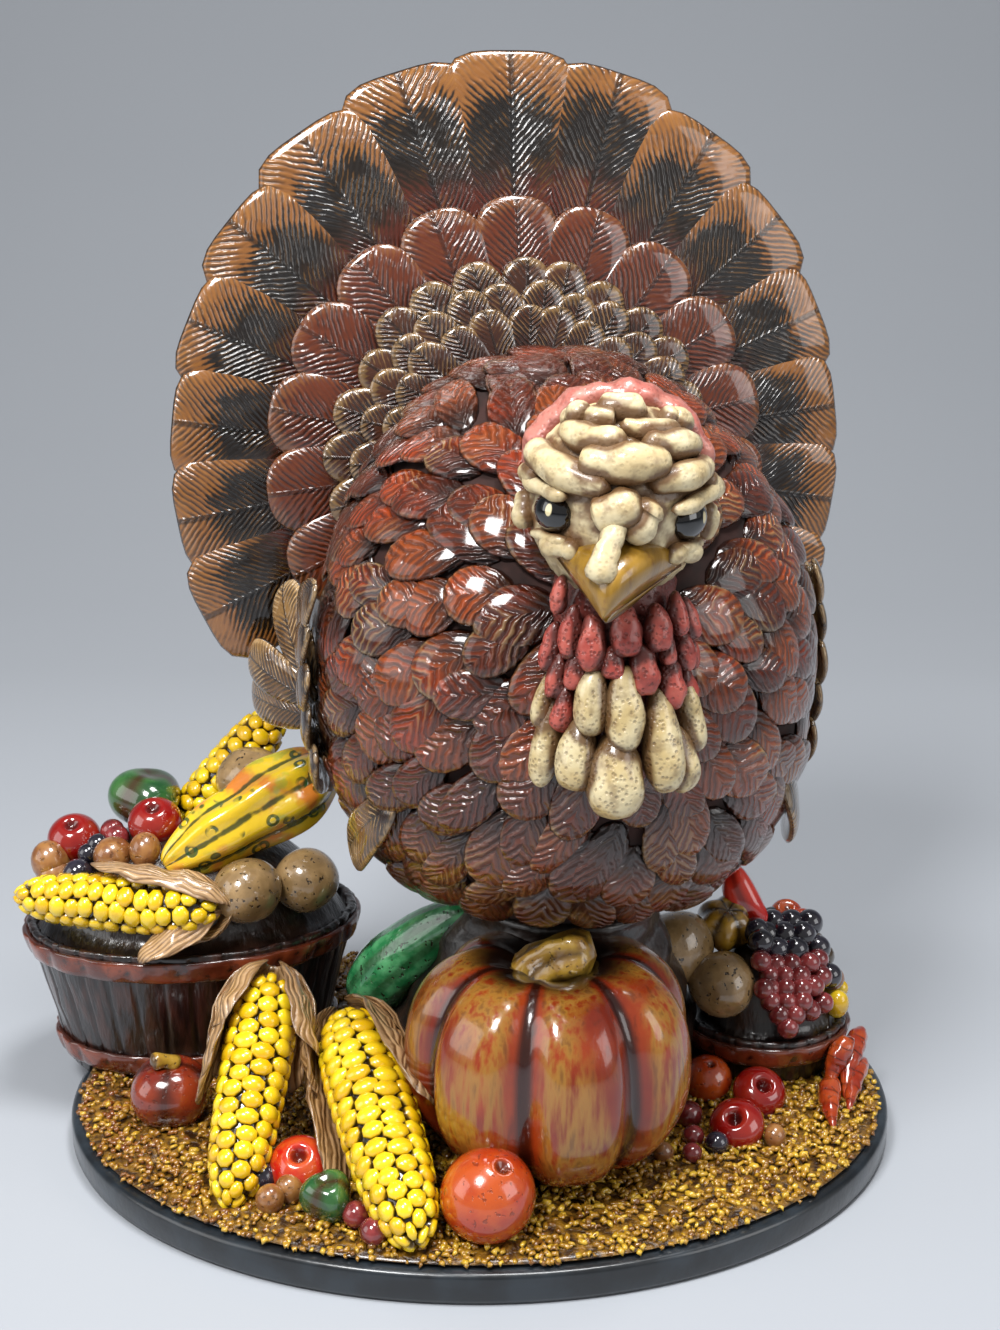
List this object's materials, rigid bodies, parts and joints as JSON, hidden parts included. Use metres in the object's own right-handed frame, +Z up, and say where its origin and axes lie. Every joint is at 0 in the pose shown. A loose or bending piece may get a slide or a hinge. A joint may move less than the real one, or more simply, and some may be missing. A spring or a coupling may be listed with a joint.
{
  "type": "harvest turkey figure",
  "caption": "Glazed ceramic turkey with a spread tail, lifting off an oval base set with baskets, a pumpkin, corn, gourds and loose produce.",
  "frame": {"origin": "middle of the plinth's flat underside", "axes": "+Z up, -Y towards the front of the figure, +X to the right as seen from the front"},
  "size_m": [0.2719, 0.206, 0.3191],
  "materials": {
    "black_glaze": "satin black glaze",
    "straw_glaze": "gold and brown painted straw under glaze",
    "earth_glaze": "matt dark brown glaze",
    "feather_glaze": "glossy mahogany glaze with pale brushed ridges",
    "tail_glaze": "glossy dark brown glaze with copper gold tips",
    "tan_feather_glaze": "glossy tan glaze with dark grooves",
    "cream_glaze": "satin ivory glaze with brown in the creases",
    "flesh_glaze": "satin red pink glaze",
    "beak_glaze": "satin mustard glaze",
    "eye_glaze": "glossy black glaze",
    "stave_glaze": "satin dark brown glaze",
    "hoop_glaze": "satin copper brown glaze",
    "pumpkin_glaze": "glossy burnt orange glaze with gold brushing",
    "stem_glaze": "satin mustard brown glaze",
    "corn_glaze": "glossy yellow glaze",
    "husk_glaze": "satin tan glaze with brown streaks",
    "green_glaze": "glossy mottled green glaze",
    "gourd_glaze": "glossy yellow glaze with orange and green marks",
    "orange_glaze": "glossy orange glaze",
    "red_glaze": "glossy red glaze",
    "potato_glaze": "glossy brown glaze with dark pits",
    "dark_grape_glaze": "glossy blue black glaze",
    "red_grape_glaze": "glossy wine red glaze"
  },
  "bodies": {
    "base": {"plinth": "black_glaze", "ground_cover": "straw_glaze", "mound": "earth_glaze", "large_basket": "stave_glaze", "large_basket_rim_hoop": "hoop_glaze", "large_basket_foot_hoop": "hoop_glaze", "small_basket": "stave_glaze", "small_basket_rim_hoop": "hoop_glaze", "pumpkin": "pumpkin_glaze", "pumpkin_stem": "stem_glaze", "left_cob": "corn_glaze", "left_cob_husk": "husk_glaze", "right_cob": "corn_glaze", "right_cob_husk": "husk_glaze", "green_squash": "green_glaze", "navel_orange": "orange_glaze", "red_gourd": "red_glaze", "front_tomato": "red_glaze", "front_pepper": "green_glaze", "ground_orange": "orange_glaze", "ground_tomato_1": "red_glaze", "ground_tomato_2": "red_glaze", "chilli_1": "orange_glaze", "chilli_2": "orange_glaze", "chilli_3": "orange_glaze", "basket_cob": "corn_glaze", "basket_cob_husk": "husk_glaze", "basket_potato_1": "potato_glaze", "basket_potato_2": "potato_glaze", "striped_gourd": "gourd_glaze", "basket_apple_1": "red_glaze", "basket_apple_2": "red_glaze", "basket_pepper": "green_glaze", "rear_potato": "potato_glaze", "rear_cob": "corn_glaze", "right_small_potato": "potato_glaze", "left_small_potato": "potato_glaze", "gold_gourd": "gourd_glaze", "red_pepper": "red_glaze", "dark_grapes": "dark_grape_glaze", "red_grapes": "red_grape_glaze", "small_tomato_1": "orange_glaze", "small_tomato_2": "orange_glaze"},
    "turkey": {"turkey_body": "feather_glaze", "tail_fan": "tail_glaze", "covert_fan": "feather_glaze", "inner_covert_fan": "tan_feather_glaze", "left_wing": "tan_feather_glaze", "right_wing": "tan_feather_glaze", "head": "cream_glaze", "neck": "flesh_glaze", "left_eye": "eye_glaze", "right_eye": "eye_glaze", "upper_beak": "beak_glaze", "lower_beak": "beak_glaze", "snood": "cream_glaze", "forehead_folds": "cream_glaze", "crown_rim": "flesh_glaze", "red_wattle": "flesh_glaze", "cream_dewlap": "cream_glaze"}
  },
  "joints": [
    {"name": "turkey_lift", "type": "slide", "parent": "base", "child": "turkey", "axis": [0, 0, 1], "range_m": [0, 0.1]}
  ]
}
